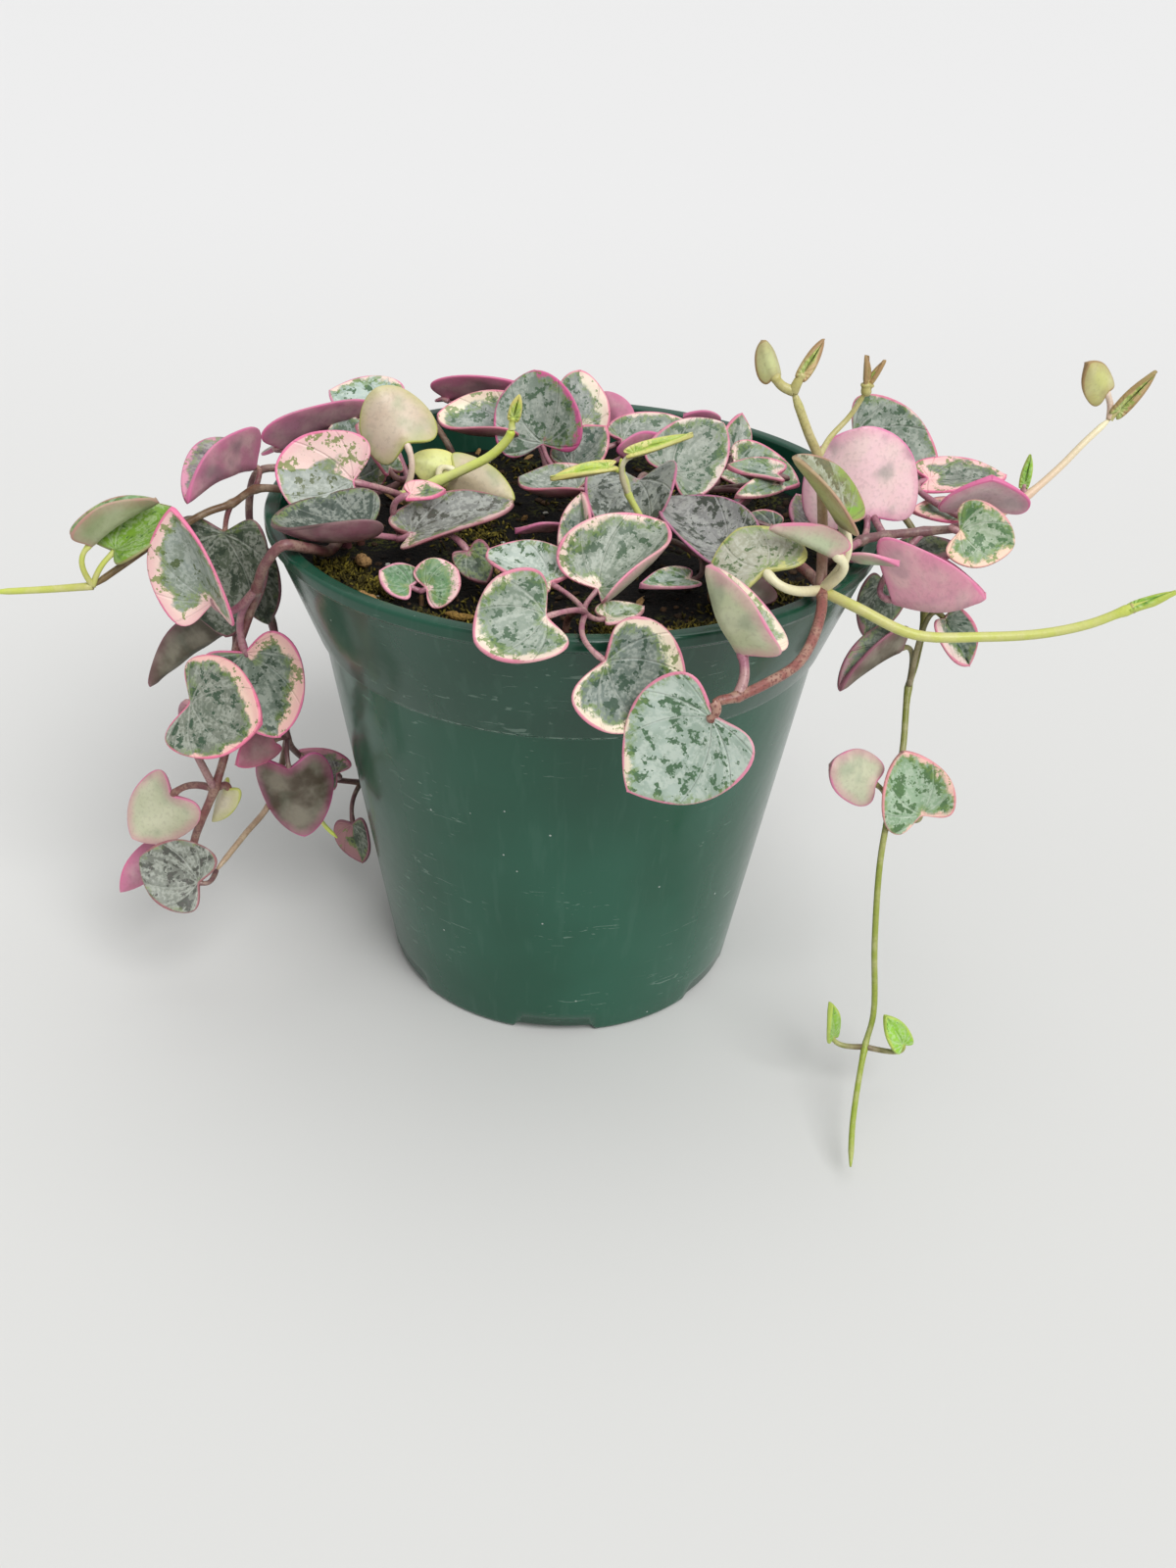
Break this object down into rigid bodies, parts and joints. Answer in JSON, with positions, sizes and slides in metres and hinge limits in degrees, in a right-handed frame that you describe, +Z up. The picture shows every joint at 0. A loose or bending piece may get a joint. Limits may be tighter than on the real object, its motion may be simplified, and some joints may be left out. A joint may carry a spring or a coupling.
{
  "type": "string of hearts",
  "caption": "Variegated string of hearts in a round dark green nursery pot, with a crown of heart-shaped leaves and vines that trail over the rim.",
  "frame": {"origin": "centre of the pot's underside", "axes": "+Z up along the pot's axis, -Y towards the front, +X to the right as seen from the front"},
  "size_m": [0.1951, 0.1366, 0.1321],
  "materials": {
    "pot_plastic": "dark green, semi-gloss, slightly scuffed",
    "potting_mix": null,
    "leaf_and_stem": null
  },
  "bodies": {
    "root": {"pot": "pot_plastic", "soil": "potting_mix", "vine_left_far": "leaf_and_stem", "vine_left_hanging": "leaf_and_stem", "vine_left_back": "leaf_and_stem", "crown_left": "leaf_and_stem", "crown_back": "leaf_and_stem", "crown_centre": "leaf_and_stem", "vine_front": "leaf_and_stem", "seedling": "leaf_and_stem", "vine_right_front": "leaf_and_stem", "vine_right_cluster": "leaf_and_stem", "vine_right_hanging": "leaf_and_stem", "vine_back_left": "leaf_and_stem", "vine_back": "leaf_and_stem"}
  },
  "joints": []
}
